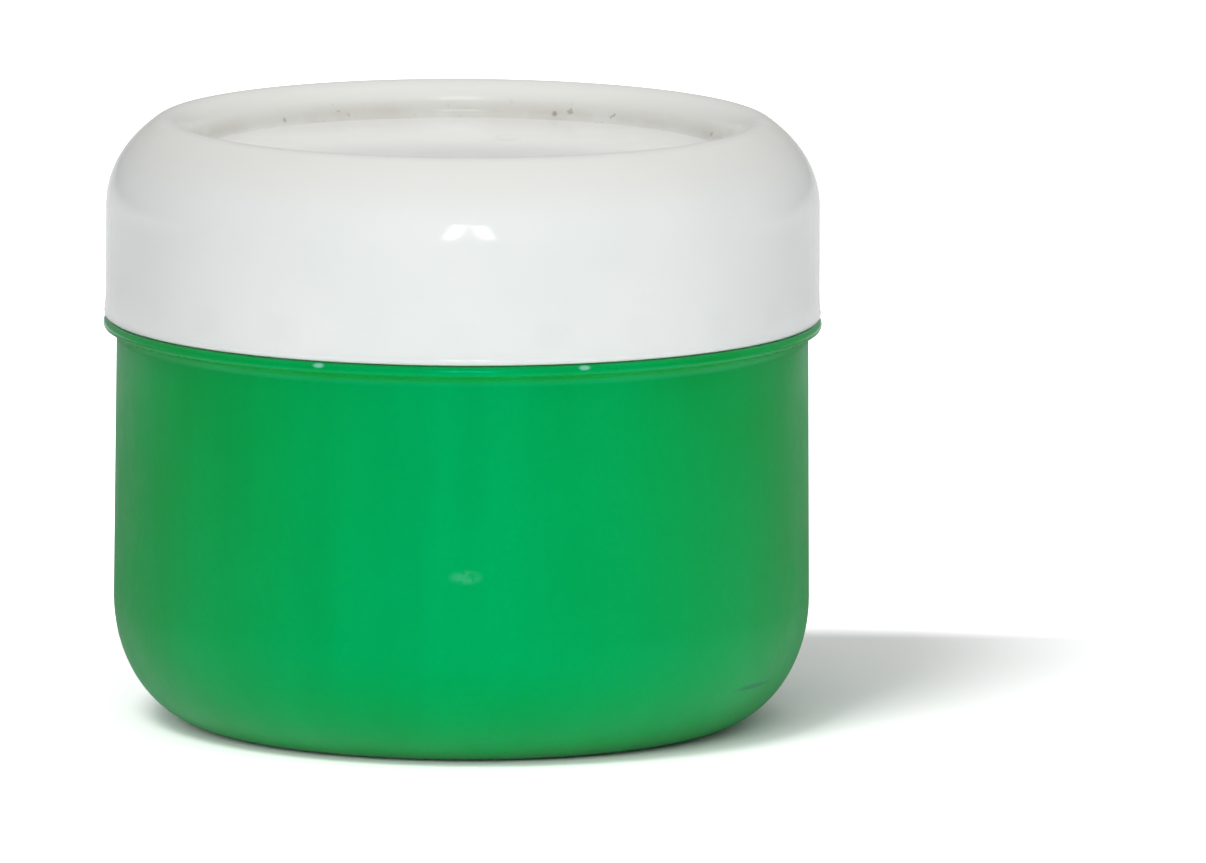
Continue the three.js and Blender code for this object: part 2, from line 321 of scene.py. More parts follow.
def bead_underside(bead):
    """A soft hollow curve from the wall out to the tip of the bead."""
    slope = math.radians(BEAD_SLOPE_END)
    start = (JAR_TOP_RADIUS, BEAD_FOOT_HEIGHT)
    middle = (JAR_TOP_RADIUS, BEAD_FOOT_HEIGHT + BEAD_HOLLOW)
    end = (bead[0] + BEAD_ROUNDING * math.cos(slope), bead[1] + BEAD_ROUNDING * math.sin(slope))
    return [start, *bend(start, middle, end, FILLET_STEPS)[:-1]]


def make_jar():
    def reshape(radius, height, angle):
        on_neck = abs(radius - NECK_RADIUS) < TINY and height > BEAD_TOP
        if not on_neck:
            return radius, height
        share = thread_share(angle, height, NECK_THREAD_START, 0.0)
        return radius + NECK_THREAD_DEPTH * share, height

    return revolve("jar", jar_outline(), reshape)


# ---- Paint ----


def make_paint():
    meniscus = (PAINT_RADIUS - MENISCUS_WIDTH, PAINT_EDGE_HEIGHT)
    surface = PAINT_EDGE_HEIGHT - MENISCUS_RISE
    outline = [
        (0.0, PAINT_BOTTOM),
        *arc(
            (FOOT_RADIUS, BOTTOM_ROUND_HEIGHT),
            PAINT_RADIUS - FOOT_RADIUS,
            BOTTOM_ROUND_HEIGHT - PAINT_BOTTOM,
            -90,
            0,
            ROUND_STEPS,
        ),
        *arc(meniscus, MENISCUS_WIDTH, MENISCUS_RISE, 0, -90),
        *line((meniscus[0], surface), (0.0, surface), SWIRL_ROW),
        (0.0, surface),
    ]

    def reshape(radius, height, angle):
        """Low swirls that a brush has left in the thick paint."""
        if height < surface - TINY or radius > meniscus[0]:
            return radius, height
        fade = smooth_step(meniscus[0] - radius, 0.0, SWIRL_EDGE_FADE)
        fade *= smooth_step(radius, 0.0, SWIRL_MIDDLE_FADE)
        swirl = math.sin(2 * angle + radius / BROAD_SWIRL)
        swirl += 0.5 * math.sin(3 * angle - radius / FINE_SWIRL)
        return radius, height + SWIRL_HEIGHT * fade * swirl

    return revolve("paint", outline, reshape)


# ---- Liner ----


def make_liner():
    rim_middle = (NECK_RADIUS + MOUTH_RADIUS) / 2
    edge = LINER_EDGE
    flat = LINER_RADIUS - edge
    outline = [
        (0.0, LINER_BOTTOM),
        *line((0.0, LINER_BOTTOM), (flat, LINER_BOTTOM), GROOVE_ROW),
        *arc((flat, LINER_BOTTOM + edge), edge, edge, -90, 0, LINER_EDGE_STEPS),
        *arc((flat, LINER_TOP - edge), edge, edge, 0, 90, LINER_EDGE_STEPS),
        (0.0, LINER_TOP),
    ]

    def reshape(radius, height, angle):
        """The foam keeps a shallow groove where the rim has pressed it."""
        if height > LINER_BOTTOM + TINY:
            return radius, height
        pressed = 1 - smooth_step(abs(radius - rim_middle), GROOVE_FLOOR, GROOVE_MOUTH)
        return radius, height + GROOVE_DEPTH * pressed

    return revolve("liner", outline, reshape)


# ---- Inner cap ----


def make_inner_cap():
    wall_foot = CAP_BOTTOM + CAP_EDGE
    wall_top = CAP_CEILING - CAP_EDGE
    outline = [
        (0.0, CAP_CEILING),
        *arc((CAP_INSIDE_RADIUS - CAP_EDGE, wall_top), CAP_EDGE, CAP_EDGE, 90, 0),
        *line((CAP_INSIDE_RADIUS, wall_top), (CAP_INSIDE_RADIUS, wall_foot), THREAD_ROW),
        *arc((CAP_INSIDE_RADIUS + CAP_EDGE, wall_foot), CAP_EDGE, CAP_EDGE, 180, 270),
        *arc((CAP_RADIUS - CAP_EDGE, wall_foot), CAP_EDGE, CAP_EDGE, 270, 360),
        *arc((CAP_RADIUS - CAP_CORNER, CAP_TOP - CAP_CORNER), CAP_CORNER, CAP_CORNER, 0, 90),
        (0.0, CAP_TOP),
    ]
    rise = THREAD_LEAD * CAP_THREAD_START_ANGLE / (2 * math.pi)
    start = NECK_THREAD_START - CAP_THREAD_DROP + rise

    def reshape(radius, height, angle):
        if abs(radius - CAP_INSIDE_RADIUS) > TINY:
            return radius, height
        share = thread_share(angle, height, start, CAP_THREAD_START_ANGLE)
        return radius - CAP_THREAD_DEPTH * share, height

    return revolve("lid_inner_cap", outline, reshape)


# ---- Lid shell ----


def crest_and_corner(inset):
    """From the wall of the dish over the crest and down to the skirt, moved inwards by inset."""
    rounding = CREST_ROUNDING - inset
    centre = (CREST_RADIUS, LID_TOP - CREST_ROUNDING)
    crest = arc(centre, rounding, rounding, 180, 90 - math.degrees(CORNER_SLOPE), ROUND_STEPS)
    corner_top = crest[-1]
    skirt_radius = LID_RADIUS - inset
    drop = (skirt_radius - corner_top[0]) * math.tan(CORNER_SLOPE)
    meeting = (skirt_radius, corner_top[1] - drop)
    return [*crest, *bend(corner_top, meeting, (skirt_radius, SKIRT_HEIGHT), ROUND_STEPS)]


def lid_underside():
    ceiling = DISH_FLOOR_HEIGHT - LID_WALL
    edge = (DISH_WALL_RADIUS + LID_WALL - UNDERSIDE_EDGE, ceiling + UNDERSIDE_EDGE)
    lug_middle = (LUG_TOP + LUG_BOTTOM) / 2
    heights = (LUG_TOP + LUG_DRAFT, LUG_TOP, lug_middle, LUG_BOTTOM, LUG_BOTTOM - LUG_DRAFT)
    lip = (SKIRT_INSIDE_RADIUS + LID_LIP_ROUNDING, LID_BOTTOM + LID_LIP_ROUNDING)
    return [
        (0.0, ceiling),
        *arc(edge, UNDERSIDE_EDGE, UNDERSIDE_EDGE, -90, 0),
        *crest_and_corner(LID_WALL),
        *[(SKIRT_INSIDE_RADIUS, height) for height in heights],
        *arc(lip, LID_LIP_ROUNDING, LID_LIP_ROUNDING, 180, 270),
    ]


def lid_outside():
    lip = (LID_RADIUS + LID_LIP_PROUD - LID_LIP_ROUNDING, LID_BOTTOM + LID_LIP_ROUNDING)
    lip_top = (LID_RADIUS, lip[1] + LID_LIP_ROUNDING)
    dish_foot = (DISH_WALL_RADIUS - DISH_FILLET, DISH_FLOOR_HEIGHT + DISH_FILLET)
    return [
        *arc(lip, LID_LIP_ROUNDING, LID_LIP_ROUNDING, -90, LIP_ROUNDING_END, LIP_STEPS),
        *line(lip_top, (LID_RADIUS, SKIRT_HEIGHT), PLAIN_ROW),
        *reversed(crest_and_corner(0.0)),
        *arc(dish_foot, DISH_FILLET, DISH_FILLET, 0, -90),
        *line((dish_foot[0], DISH_FLOOR_HEIGHT), (0.0, DISH_FLOOR_HEIGHT), DISH_ROW),
        (0.0, DISH_FLOOR_HEIGHT),
    ]


def make_lid():
    spacing = 2 * math.pi / LUG_COUNT
    half_width = LUG_HALF_WIDTH * 2 * math.pi / COLUMNS

    def reshape(radius, height, angle):
        """The lugs reach in from the skirt towards the inner cap."""
        on_skirt = abs(radius - SKIRT_INSIDE_RADIUS) < TINY
        at_lugs = LUG_BOTTOM - TINY < height < LUG_TOP + TINY
        from_lug = abs((angle + spacing / 2) % spacing - spacing / 2)
        if on_skirt and at_lugs and from_lug <= half_width:
            return radius - LUG_REACH, height
        return radius, height

    return revolve("lid", [*lid_underside(), *lid_outside()], reshape)


# ---- Colours ----

WHITE = (1.0, 1.0, 1.0, 1.0)
LID_DULL = (0.795, 0.825, 0.82, 1.0)
LID_MILKY = (0.825, 0.85, 0.845, 1.0)
# Painted light: a warmer tint on the top of the lid, for warmer light from above.
LID_WARM_TOP_LIGHT = (0.81, 0.81, 0.775, 1.0)
# Painted light: a lighter floor of the dish, against the shade of the hollow.
LID_DISH_LIGHTENED = (0.88, 0.88, 0.86, 1.0)
# Painted shadow of the lugs, seen through the skirt.
LUG_SHADE = (0.70, 0.725, 0.715, 1.0)
# Grime and painted shade in the corner of the dish.
GRIME_AND_SHADE = (0.58, 0.55, 0.48, 1.0)
SMALL_SPECK = (0.50, 0.48, 0.43, 1.0)
LARGE_SPECK = (0.40, 0.38, 0.35, 1.0)
SMUDGE = (0.50, 0.49, 0.46, 1.0)
JAR_DEEP = (0.0, 0.325, 0.026, 1.0)
JAR_BRIGHT = (0.0, 0.36, 0.042, 1.0)
JAR_GRAIN = (0.0, 0.29, 0.05, 1.0)
JAR_SHINE = (0.0, 1.0, 1.0, 1.0)
NICK = (0.22, 0.58, 0.38, 1.0)
FRONT_PALE_SPOT = (0.06, 0.43, 0.17, 1.0)
LOW_DARK_LINE = (0.0, 0.12, 0.03, 1.0)
PAINT_DEEP = (0.0, 0.34, 0.07, 1.0)
PAINT_BRIGHT = (0.0, 0.42, 0.1, 1.0)
PAINT_STAIN = (0.02, 0.40, 0.12, 1.0)
CAP_DULL = (0.77, 0.78, 0.77, 1.0)
CAP_BRIGHT = (0.82, 0.83, 0.82, 1.0)
FOAM = (0.86, 0.85, 0.82, 1.0)
FLOOR_DULL = (0.94, 0.94, 0.94, 1.0)
FLOOR_BRIGHT = (0.96, 0.96, 0.96, 1.0)

# ---- Marks on the lid and jar ----


def on_wall(azimuth, radius, height):
    """A point on the jar: azimuth 0 is its front and positive to the right, in degrees."""
    angle = math.radians(azimuth)
    return (radius * math.sin(angle), -radius * math.cos(angle), height)


DISH_SPECKS = (  # sideways from the middle, behind the middle, and size
    (-11.6 * MM, 13.1 * MM, 0.28 * MM),
    (-7.5 * MM, 15.8 * MM, 0.24 * MM),
    (5.8 * MM, 16.6 * MM, 0.26 * MM),
    (15.9 * MM, 7.4 * MM, 0.24 * MM),
)
SPECK_HEIGHT = DISH_FLOOR_HEIGHT + 0.35 * MM
SMUDGE_PLACE = (2.8 * MM, 7.3 * MM, DISH_FLOOR_HEIGHT)
SMUDGE_REACH = 2.2 * MM
SMUDGE_STRETCH = (2.0, 1.0, 1.0)
NICK_AZIMUTHS = (-23, 20)
NICK_HEIGHT = BEAD_TOP - 0.2 * MM
NICK_REACH = 0.5 * MM
NICK_STRETCH = (1.0, 1.0, 2.4)
PALE_SPOT_PLACE = on_wall(1, JAR_RADIUS, 12.7 * MM)
PALE_SPOT_REACH = 1.3 * MM
PALE_SPOT_STRETCH = (1.0, 1.0, 2.2)
DARK_LINE_PLACE = on_wall(61, JAR_RADIUS - 0.6 * MM, 3.9 * MM)
DARK_LINE_REACH = 3.0 * MM
DARK_LINE_STRETCH = (1.0, 1.0, 13.0)
SPOT_CORE = 0.35  # share of a spot's reach that it fills evenly

# ---- Material helper ----

# Sockets of the mix node, where several share one name.
MIX_SHARE, MIX_FIRST, MIX_SECOND, MIX_COLOUR = 0, 6, 7, 2


class Finish:
    """One material with a single Principled shader, and short names for the nodes it uses."""

    def __init__(self, name, **inputs):
        self.material = bpy.data.materials.new(name)
        self.material.use_nodes = True
        self.tree = self.material.node_tree
        self.shader = self.tree.nodes["Principled BSDF"]
        for key, value in inputs.items():
            self.shader.inputs[key.replace("_", " ")].default_value = value
        self.place = self.add("ShaderNodeTexCoord").outputs["Object"]
        split = self.add("ShaderNodeSeparateXYZ")
        self.put(self.place, split.inputs[0])
        # Depth is the distance behind the Z axis, away from the front of the jar.
        self.sideways, self.depth, self.height = split.outputs

    def add(self, kind, **settings):
        node = self.tree.nodes.new(kind)
        for key, value in settings.items():
            setattr(node, key, value)
        return node

    def put(self, value, socket):
        """Sets a socket to a number or colour, or links it to another socket."""
        if isinstance(value, bpy.types.NodeSocket):
            self.tree.links.new(value, socket)
        else:
            socket.default_value = value

    def drive(self, name, value):
        """Sets or links one input of the shader."""
        self.put(value, self.shader.inputs[name])

    def math(self, operation, first, second=0.0):
        node = self.add("ShaderNodeMath", operation=operation)
        self.put(first, node.inputs[0])
        self.put(second, node.inputs[1])
        return node.outputs[0]

    def product(self, first, *others):
        for other in others:
            first = self.math("MULTIPLY", first, other)
        return first

    def vector_math(self, operation, first, second, output):
        node = self.add("ShaderNodeVectorMath", operation=operation)
        self.put(first, node.inputs[0])
        self.put(second, node.inputs[1])
        return node.outputs[output]

    def noise(self, size, detail=3.0, roughness=0.5, where=None):
        """Noise from 0 to 1 with features of about the given size in metres."""
        node = self.add("ShaderNodeTexNoise")
        self.put(where or self.place, node.inputs["Vector"])
        node.inputs["Scale"].default_value = 1.0 / size
        node.inputs["Detail"].default_value = detail
        node.inputs["Roughness"].default_value = roughness
        return node.outputs["Fac"]

    def remap(self, value, low, high, to_low=0.0, to_high=1.0):
        """A smooth change from to_low to to_high as value goes from low to high."""
        node = self.add("ShaderNodeMapRange", interpolation_type="SMOOTHSTEP")
        for item, socket in zip((value, low, high, to_low, to_high), node.inputs):
            self.put(item, socket)
        return node.outputs[0]

    def fall(self, value, low, high):
        """1 up to low, going smoothly to 0 at high."""
        return self.remap(value, low, high, 1.0, 0.0)

    def band(self, value, low, high, soft):
        """1 between low and high, fading to 0 over soft on either side."""
        rise = self.remap(value, low - soft, low)
        return self.math("SUBTRACT", rise, self.remap(value, high, high + soft))

    def spot(self, centre, reach, stretch=(1.0, 1.0, 1.0)):
        """1 round a point, fading to 0 at reach; a stretch above 1 narrows it along that axis."""
        scaled = self.vector_math("MULTIPLY", self.place, stretch, "Vector")
        middle = tuple(c * s for c, s in zip(centre, stretch))
        apart = self.vector_math("DISTANCE", scaled, middle, "Value")
        return self.fall(apart, SPOT_CORE * reach, reach)

    def blend(self, share, first, second):
        """The first colour where share is 0 and the second where it is 1."""
        node = self.add("ShaderNodeMix", data_type="RGBA")
        self.put(share, node.inputs[MIX_SHARE])
        self.put(first, node.inputs[MIX_FIRST])
        self.put(second, node.inputs[MIX_SECOND])
        return node.outputs[MIX_COLOUR]

    def radius(self):
        """Distance from the Z axis."""
        across = self.math("MULTIPLY", self.sideways, self.sideways)
        back = self.math("MULTIPLY", self.depth, self.depth)
        return self.math("SQRT", self.math("ADD", across, back))

    def angle(self):
        """Angle about the Z axis, in radians."""
        return self.math("ARCTAN2", self.depth, self.sideways)

    def bump(self, height, distance):
        node = self.add("ShaderNodeBump")
        node.inputs["Strength"].default_value = 1.0
        node.inputs["Distance"].default_value = distance
        self.put(height, node.inputs["Height"])
        self.drive("Normal", node.outputs[0])


# ---- Lid's material ----


def dish_floor_light_share(finish, radius):
    """1 on the floor of the dish, where it is painted lighter, and 0 elsewhere."""
    low = finish.fall(finish.height, DISH_FLOOR_HEIGHT + 0.02 * MM, DISH_FLOOR_HEIGHT + 0.2 * MM)
    inside = finish.fall(radius, DISH_WALL_RADIUS - 0.7 * MM, DISH_WALL_RADIUS - 0.3 * MM)
    return finish.product(low, inside)


def dish_corner_share(finish, radius):
    """1 in the corner round the floor of the dish, and 0 elsewhere."""
    corner_start = DISH_WALL_RADIUS - 0.45 * MM
    corner = finish.band(radius, corner_start, DISH_WALL_RADIUS + 0.1 * MM, 0.35 * MM)
    floor = DISH_FLOOR_HEIGHT
    low = finish.fall(finish.height, floor + 0.3 * MM, floor + 1.3 * MM)
    not_under = finish.remap(finish.height, floor - 1 * MM, floor - 0.5 * MM)
    return finish.product(corner, low, not_under)


def lug_shadow_share(finish):
    """How far the lugs inside the skirt show through it as painted shadow: faintly, and some more
    than others.
    """
    ripple = finish.math("COSINE", finish.product(finish.angle(), LUG_COUNT))
    beside = finish.remap(ripple, -0.4, 1.0)
    level = finish.band(finish.height, LUG_BOTTOM + 0.6 * MM, LUG_TOP - 0.6 * MM, 0.9 * MM)
    strength = finish.remap(finish.noise(8 * MM, 1.0), 0.35, 0.65, 0.04, 0.18)
    return finish.product(beside, level, strength)


def add_dish_dirt_and_shade(finish, colour, corner):
    """Grime with painted shade in the corner of the dish, darker towards the back, specks there,
    and a smudge on its floor.
    """
    patchy = finish.remap(finish.noise(3.5 * MM, 4.0, 0.6), 0.35, 0.7, 0.4, 1.0)
    # Painted shade with the grime, darker towards the back of the dish.
    darker_behind = finish.remap(finish.depth, -6 * MM, 12 * MM, 0.15, 0.55)
    colour = finish.blend(finish.product(corner, patchy, darker_behind), colour, GRIME_AND_SHADE)
    specks = finish.remap(finish.noise(0.8 * MM, 2.0), 0.68, 0.74)
    colour = finish.blend(finish.product(specks, corner), colour, SMALL_SPECK)
    for sideways, behind, reach in DISH_SPECKS:
        speck = finish.spot((sideways, behind, SPECK_HEIGHT), reach)
        colour = finish.blend(speck, colour, LARGE_SPECK)
    smudge = finish.spot(SMUDGE_PLACE, SMUDGE_REACH, SMUDGE_STRETCH)
    broken = finish.remap(finish.noise(1.4 * MM), 0.35, 0.65, 0.05, 0.3)
    return finish.blend(finish.product(smudge, broken), colour, SMUDGE)


def lid_plastic():
    finish = Finish(
        "lid_plastic",
        Subsurface_Weight=0.3,
        Subsurface_Radius=(1.0, 1.0, 1.0),
        Subsurface_Scale=1.5 * MM,
        IOR=1.49,
    )
    radius = finish.radius()
    # Cloudy unevenness of thin white plastic.
    cloud = finish.noise(11 * MM, 2.0)
    colour = finish.blend(finish.remap(cloud, 0.3, 0.7), LID_DULL, LID_MILKY)
    # The top is painted a warmer tint, as painted light that stands for warmer light from above;
    # it has also been handled more than the skirt.
    warm_top_and_wear = finish.remap(finish.height, SKIRT_HEIGHT + 1.5 * MM, LID_TOP - 0.5 * MM)
    colour = finish.blend(warm_top_and_wear, colour, LID_WARM_TOP_LIGHT)
    # The floor of the dish is painted lighter, as painted light against the shade of the hollow.
    colour = finish.blend(dish_floor_light_share(finish, radius), colour, LID_DISH_LIGHTENED)
    # Painted shadow of the lugs inside the skirt.
    colour = finish.blend(lug_shadow_share(finish), colour, LUG_SHADE)
    finish.drive("Base Color", add_dish_dirt_and_shade(finish, colour, dish_corner_share(finish, radius)))
    # Handling leaves the gloss uneven, and duller on the top.
    gloss = finish.remap(finish.noise(6 * MM, 5.0, 0.65), 0.35, 0.75, 0.06, 0.12)
    finish.drive("Roughness", finish.math("ADD", gloss, finish.product(warm_top_and_wear, 0.13)))
    finish.bump(finish.noise(1.5 * MM, 2.0), 0.004 * MM)
    return finish.material


# ---- Jar's material ----


def add_jar_marks(finish, colour):
    """Pale nicks on the bead, a pale spot on the front and a dark line low on the right."""
    for azimuth in NICK_AZIMUTHS:
        nick = finish.spot(on_wall(azimuth, BEAD_RADIUS, NICK_HEIGHT), NICK_REACH, NICK_STRETCH)
        colour = finish.blend(nick, colour, NICK)
    # A pale spot on the front.
    pale_spot = finish.spot(PALE_SPOT_PLACE, PALE_SPOT_REACH, PALE_SPOT_STRETCH)
    broken = finish.remap(finish.noise(0.6 * MM), 0.4, 0.6, 0.1, 0.5)
    colour = finish.blend(finish.product(pale_spot, broken), colour, FRONT_PALE_SPOT)
    # A dark line low on the right.
    dark_line = finish.spot(DARK_LINE_PLACE, DARK_LINE_REACH, DARK_LINE_STRETCH)
    return finish.blend(finish.product(dark_line, 0.6), colour, LOW_DARK_LINE)


def jar_plastic():
    finish = Finish("jar_plastic", Specular_IOR_Level=0.8, Specular_Tint=JAR_SHINE, IOR=1.49)
    # Cloudiness, and faint upright streaks that are painted reflections.
    cloud = finish.noise(9 * MM)
    drawn_out = finish.vector_math("MULTIPLY", finish.place, (1.0, 1.0, 0.06), "Vector")
    streaks = finish.noise(3.2 * MM, 2.0, where=drawn_out)
    shade = finish.math("ADD", finish.product(cloud, 0.5), finish.product(streaks, 0.5))
    colour = finish.blend(finish.remap(shade, 0.35, 0.65), JAR_DEEP, JAR_BRIGHT)
    grain = finish.remap(finish.noise(0.35 * MM, 2.0), 0.3, 0.7)
    colour = finish.blend(finish.product(grain, 0.3), colour, JAR_GRAIN)
    finish.drive("Base Color", add_jar_marks(finish, colour))
    # The bead has been rubbed smoother than the wall.
    smears = finish.remap(finish.noise(5 * MM, 5.0, 0.65), 0.35, 0.75, 0.36, 0.46)
    rubbed = finish.remap(finish.height, BEAD_TOP - 1.0 * MM, BEAD_TOP - 0.7 * MM, 0.0, 0.2)
    finish.drive("Roughness", finish.math("SUBTRACT", smears, rubbed))
    finish.bump(finish.noise(0.7 * MM), 0.012 * MM)
    return finish.material


# ---- Materials under the lid ----


def wet_paint():
    finish = Finish("wet_paint", IOR=1.45)
    streaks = finish.noise(4 * MM, 4.0, 0.6)
    colour = finish.blend(finish.remap(streaks, 0.3, 0.7), PAINT_DEEP, PAINT_BRIGHT)
    finish.drive("Base Color", colour)
    finish.drive("Roughness", finish.remap(streaks, 0.3, 0.7, 0.08, 0.18))
    finish.bump(finish.noise(1.2 * MM), 0.03 * MM)
    return finish.material


def cap_plastic():
    finish = Finish("cap_plastic", IOR=1.49)
    cloud = finish.noise(6 * MM)
    finish.drive("Base Color", finish.blend(finish.remap(cloud, 0.3, 0.7), CAP_DULL, CAP_BRIGHT))
    finish.drive("Roughness", finish.remap(cloud, 0.3, 0.7, 0.34, 0.44))
    # Fine turning marks from the mould.
    mark_spacing = 0.5 * MM
    rings = finish.math("SINE", finish.product(finish.radius(), 2 * math.pi / mark_spacing))
    finish.bump(rings, 0.004 * MM)
    return finish.material


def liner_foam():
    finish = Finish("liner_foam", IOR=1.4)
    # Paint has stained the underside inside the mouth.
    below = finish.fall(finish.height, LINER_BOTTOM + 0.05 * MM, LINER_BOTTOM + 0.3 * MM)
    inside = finish.fall(finish.radius(), MOUTH_RADIUS - 1.0 * MM, MOUTH_RADIUS + 0.3 * MM)
    blotches = finish.remap(finish.noise(5 * MM, 5.0, 0.6), 0.42, 0.56)
    stain = finish.product(below, inside, blotches)
    finish.drive("Base Color", finish.blend(stain, FOAM, PAINT_STAIN))
    finish.drive("Roughness", finish.remap(stain, 0.0, 1.0, 0.9, 0.3))
    cell_size = 0.18 * MM
    cells = finish.add("ShaderNodeTexVoronoi")
    finish.put(finish.place, cells.inputs["Vector"])
    cells.inputs["Scale"].default_value = 1 / cell_size
    finish.bump(cells.outputs["Distance"], 0.03 * MM)
    return finish.material


# ---- Stage: floor, lights and camera ----

CAMERA_DISTANCE = 1.5
CAMERA_ELEVATION = math.radians(8.42)
CAMERA_REACH = 20.0
VIEW_WIDTH = 77.74 * MM  # what the frame spans at the jar's axis
AIM_HEIGHT = 20 * MM
AIM_RIGHT = 9.08 * MM  # the jar stands left of the middle of the picture
AIM_DOWN = 1.17 * MM
CAMERA_ROLL = math.radians(0.3)
FLOOR_SIZE = 8.0
FLOOR_GAP = 0.02 * MM  # the floor lies this far under the foot
THROWN_MOST = 0.85  # how much light the floor throws on the jar
THROWN_LEAST = 0.22
THROWN_BY_FOOT = 0.8
THROWING_PATCH = (15 * MM, -95 * MM, 0.0)
PATCH_INNER, PATCH_OUTER = 50 * MM, 160 * MM
REAR_START, REAR_END = 50 * MM, 250 * MM
FOOT_START, FOOT_END = 18 * MM, 50 * MM
BACKDROP_GLOW = 0.7
BACKDROP_START, BACKDROP_END = 34 * MM, 42 * MM
FAR_START, FAR_END = 200 * MM, 500 * MM
ROOM_GLOW_AZIMUTH = 6
ROOM_GLOW_ELEVATION = 54
ROOM_GLOW_EDGE = 0.1  # cosine of the angle at which the glow fades out
ROOM_GLOW = 0.88
ROOM_BRIGHTNESS = 0.34
PANEL_SIZE = (0.052, 0.180)
PANEL_MIDDLE = 0.022  # how far right of the camera the pair of panels stands
PANEL_APART = 0.046  # from the middle of the pair to each panel
PANEL_LEAN = 12
SIDE_FILL_AZIMUTH = 85


def thrown_light(finish):
    """How pale the floor is to all but the camera, as if lit from in front of the jar."""
    apart = finish.vector_math("DISTANCE", finish.place, THROWING_PATCH, "Value")
    patch = finish.remap(apart, PATCH_INNER, PATCH_OUTER, THROWN_MOST, THROWN_LEAST)
    rear = finish.remap(finish.depth, REAR_START, REAR_END, THROWN_LEAST, THROWN_MOST)
    # Close round the jar it throws a little less, which keeps the bead's underside and foot deep.
    near = finish.remap(finish.radius(), FOOT_START, FOOT_END, THROWN_BY_FOOT, 1.0)
    return finish.product(finish.math("MAXIMUM", patch, rear), near)


def pale_floor():
    finish = Finish("pale_floor", Roughness=0.7, Specular_IOR_Level=0.2)
    plain = finish.remap(finish.noise(15 * MM, 4.0), 0.3, 0.7)
    plain = finish.blend(plain, FLOOR_DULL, FLOOR_BRIGHT)
    seen = finish.add("ShaderNodeLightPath").outputs["Is Camera Ray"]
    finish.drive("Base Color", finish.blend(seen, thrown_light(finish), plain))
    # Just behind the jar, and far off all round, the floor glows like a lit backdrop, so that it
    # fades into the white wall.
    behind = finish.remap(finish.depth, BACKDROP_START, BACKDROP_END, 0.0, BACKDROP_GLOW)
    far_off = finish.remap(finish.radius(), FAR_START, FAR_END, 0.0, BACKDROP_GLOW)
    finish.drive("Emission Color", WHITE)
    glow = finish.product(finish.math("MAXIMUM", behind, far_off), seen)
    finish.drive("Emission Strength", glow)
    return finish.material


def make_floor():
    half = FLOOR_SIZE / 2
    mesh = bpy.data.meshes.new("floor")
    corners = [(-half, -half, 0.0), (half, -half, 0.0), (half, half, 0.0), (-half, half, 0.0)]
    mesh.from_pydata(corners, [], [(0, 1, 2, 3)])
    floor = bpy.data.objects.new("floor", mesh)
    floor.location.z = -FLOOR_GAP
    bpy.context.scene.collection.objects.link(floor)
    floor.data.materials.append(pale_floor())
    return floor


def direction(azimuth, elevation):
    """A unit vector from the jar: azimuth 0 is towards the camera and 90 to its right."""
    a, e = math.radians(azimuth), math.radians(elevation)
    return Vector((math.sin(a) * math.cos(e), -math.cos(a) * math.cos(e), math.sin(e)))


def soft_light(name, azimuth, elevation, distance, size, radiance, shift=0.0, lean=0.0):
    """A rectangular lamp of the given brightness that faces the jar.

    It can be shifted to the side, in metres, and made to lean, in degrees.
    """
    width, height = size
    data = bpy.data.lights.new(name, "AREA")
    data.shape = "RECTANGLE"
    data.size, data.size_y = width, height
    data.energy = radiance * math.pi * width * height
    lamp = bpy.data.objects.new(name, data)
    aim = Vector((0.0, 0.0, AIM_HEIGHT))
    outward = direction(azimuth, elevation)
    upright = (-outward).to_track_quat("-Z", "Y")
    lamp.rotation_euler = (upright @ Quaternion((0.0, 0.0, 1.0), math.radians(lean))).to_euler()
    sideways = Vector((math.cos(math.radians(azimuth)), math.sin(math.radians(azimuth)), 0.0))
    lamp.location = aim + outward * distance + sideways * shift
    bpy.context.scene.collection.objects.link(lamp)
    return lamp


def only_light(lamp, objects):
    """Limits a lamp to some objects, so that the floor and the jar can be lit separately."""
    receivers = bpy.data.collections.new(f"lit_by_{lamp.name}")
    for item in objects:
        receivers.objects.link(item)
    lamp.light_linking.receiver_collection = receivers


def make_world():
    """A pale room that's brightest above the camera. The camera itself sees plain white."""
    world = bpy.data.worlds.new("pale_room")
    world.use_nodes = True
    tree = world.node_tree
    room = tree.nodes["Background"]
    toward = tree.nodes.new("ShaderNodeVectorMath")
    toward.operation = "DOT_PRODUCT"
    toward.inputs[1].default_value = direction(ROOM_GLOW_AZIMUTH, ROOM_GLOW_ELEVATION)
    tree.links.new(tree.nodes.new("ShaderNodeTexCoord").outputs["Generated"], toward.inputs[0])
    glow = tree.nodes.new("ShaderNodeMapRange")
    glow.interpolation_type = "SMOOTHERSTEP"
    for socket, value in zip(glow.inputs[1:5], (ROOM_GLOW_EDGE, 1.0, ROOM_BRIGHTNESS, ROOM_GLOW)):
        socket.default_value = value
    tree.links.new(toward.outputs["Value"], glow.inputs[0])
    tree.links.new(glow.outputs[0], room.inputs["Strength"])
    backdrop = tree.nodes.new("ShaderNodeBackground")
    mix = tree.nodes.new("ShaderNodeMixShader")
    tree.links.new(tree.nodes.new("ShaderNodeLightPath").outputs["Is Camera Ray"], mix.inputs[0])
    tree.links.new(room.outputs[0], mix.inputs[1])
    tree.links.new(backdrop.outputs[0], mix.inputs[2])
    tree.links.new(mix.outputs[0], tree.nodes["World Output"].inputs[0])
    room.inputs["Color"].default_value = WHITE
    backdrop.inputs["Color"].default_value = WHITE
    bpy.context.scene.world = world


def light_floor(floor):
    key = soft_light("floor_key", -27, 50, distance=0.8, size=(0.26, 0.22), radiance=23.0)
    fill = soft_light("floor_fill", -22, 20, distance=1.2, size=(0.5, 0.5), radiance=11.0)
    for lamp in (key, fill):
        only_light(lamp, [floor])


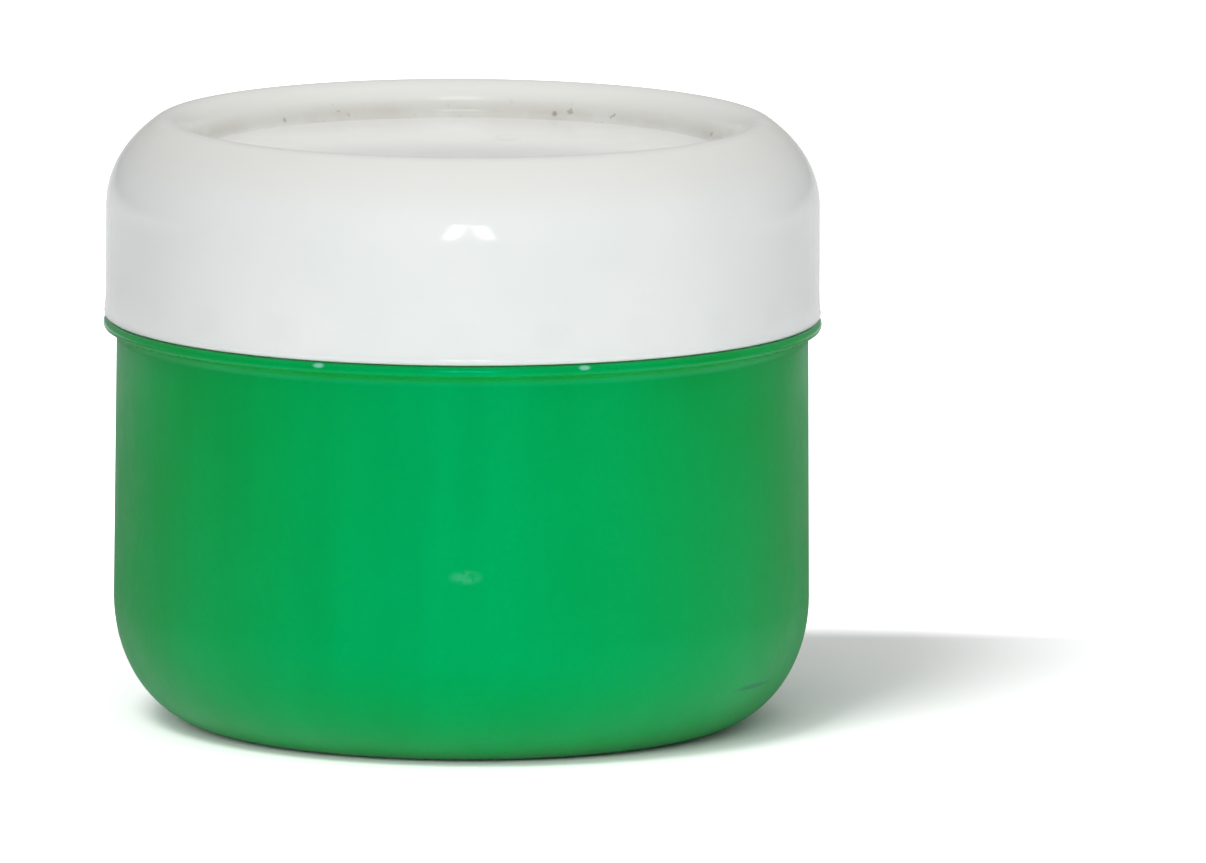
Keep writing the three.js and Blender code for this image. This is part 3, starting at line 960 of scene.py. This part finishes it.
def light_pieces(pieces, lid):
    """Large dim lamps that don't show as reflections."""
    overhead = soft_light("overhead", 0, 74, distance=1.0, size=(1.3, 1.0), radiance=0.36)
    back_fill = soft_light("back_fill", 180, 28, distance=1.0, size=(1.2, 0.6), radiance=1.3)
    for lamp in (overhead, back_fill):
        lamp.visible_glossy = False
        only_light(lamp, pieces)
    # The sides of the lid alone would be too dark without lamps of their own.
    for azimuth in (-SIDE_FILL_AZIMUTH, SIDE_FILL_AZIMUTH):
        lamp = soft_light("side_fill", azimuth, 22, distance=1.0, size=(1.0, 0.7), radiance=0.36)
        lamp.visible_glossy = False
        only_light(lamp, [lid])


def light_scene(floor, pieces, lid):
    make_world()
    # A pair of window-like panels by the camera gives the twin highlight on the lid.
    for side in (-1, 1):
        soft_light(
            "front_panel",
            0,
            20,
            distance=0.6,
            size=PANEL_SIZE,
            radiance=6.5,
            shift=PANEL_MIDDLE + side * PANEL_APART,
            lean=side * PANEL_LEAN,
        )
    light_floor(floor)
    light_pieces(pieces, lid)
    bpy.context.scene.view_settings.view_transform = "Standard"


def place_camera():
    data = bpy.data.cameras.new("camera")
    data.lens = data.sensor_width * CAMERA_DISTANCE / VIEW_WIDTH
    data.clip_end = CAMERA_REACH
    camera = bpy.data.objects.new("camera", data)
    back = direction(0.0, math.degrees(CAMERA_ELEVATION))
    up = Vector((0.0, math.sin(CAMERA_ELEVATION), math.cos(CAMERA_ELEVATION)))
    aim = Vector((AIM_RIGHT, 0.0, AIM_HEIGHT)) - up * AIM_DOWN
    camera.location = aim + back * CAMERA_DISTANCE
    level = (-back).to_track_quat("-Z", "Y")
    camera.rotation_euler = (level @ Quaternion((0.0, 0.0, 1.0), CAMERA_ROLL)).to_euler()
    bpy.context.scene.collection.objects.link(camera)
    bpy.context.scene.camera = camera


# ---- Build ----

jar = finish_piece(make_jar(), "jar", "jar_body", jar_plastic())
paint = finish_piece(make_paint(), "jar", "paint_fill", wet_paint())
liner = finish_piece(make_liner(), "liner", "liner_disc", liner_foam())
inner_cap = finish_piece(make_inner_cap(), "lid", "inner_cap", cap_plastic())
lid = finish_piece(make_lid(), "lid", "lid_shell", lid_plastic())
light_scene(make_floor(), [jar, paint, liner, inner_cap, lid], lid)
place_camera()
